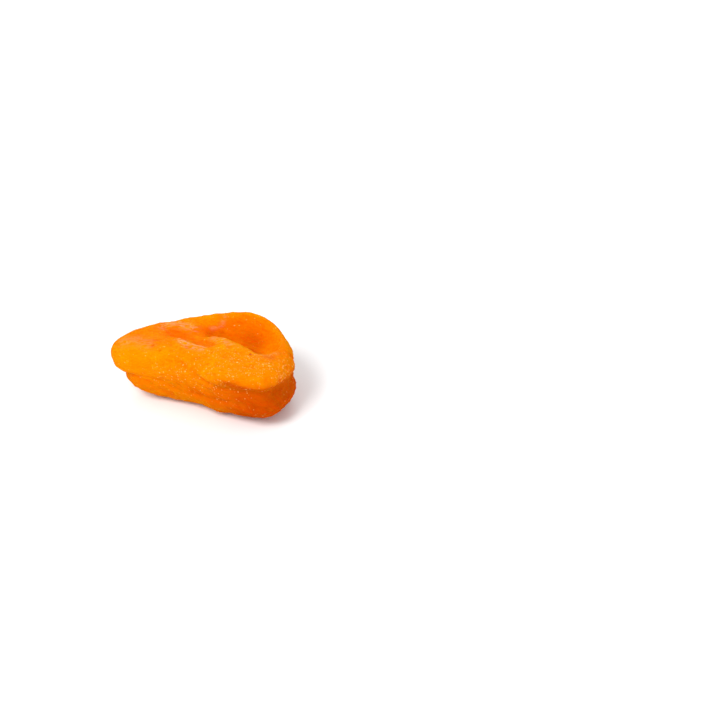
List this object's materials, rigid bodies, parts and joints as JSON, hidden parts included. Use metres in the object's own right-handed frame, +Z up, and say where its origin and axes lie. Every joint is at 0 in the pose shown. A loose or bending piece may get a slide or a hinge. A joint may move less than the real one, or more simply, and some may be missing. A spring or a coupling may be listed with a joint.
{
  "type": "dried apricot",
  "caption": "Whole pitted dried apricot: a leathery fruit shrunk flat, with a hollow in its upper cheek, a lip and crease round its side, and a small flat spot to rest on.",
  "frame": {"origin": "under the middle of the fruit's length and width, on the surface that it lies on", "axes": "+X along the fruit to its blunt end, the narrow tip at -X; +Y to the back, away from the steeper near face; +Z up, the hollow on top"},
  "size_m": [0.044, 0.0286, 0.0162],
  "materials": {
    "skin": "satin"
  },
  "bodies": {
    "root": {"apricot": "skin"}
  },
  "joints": []
}
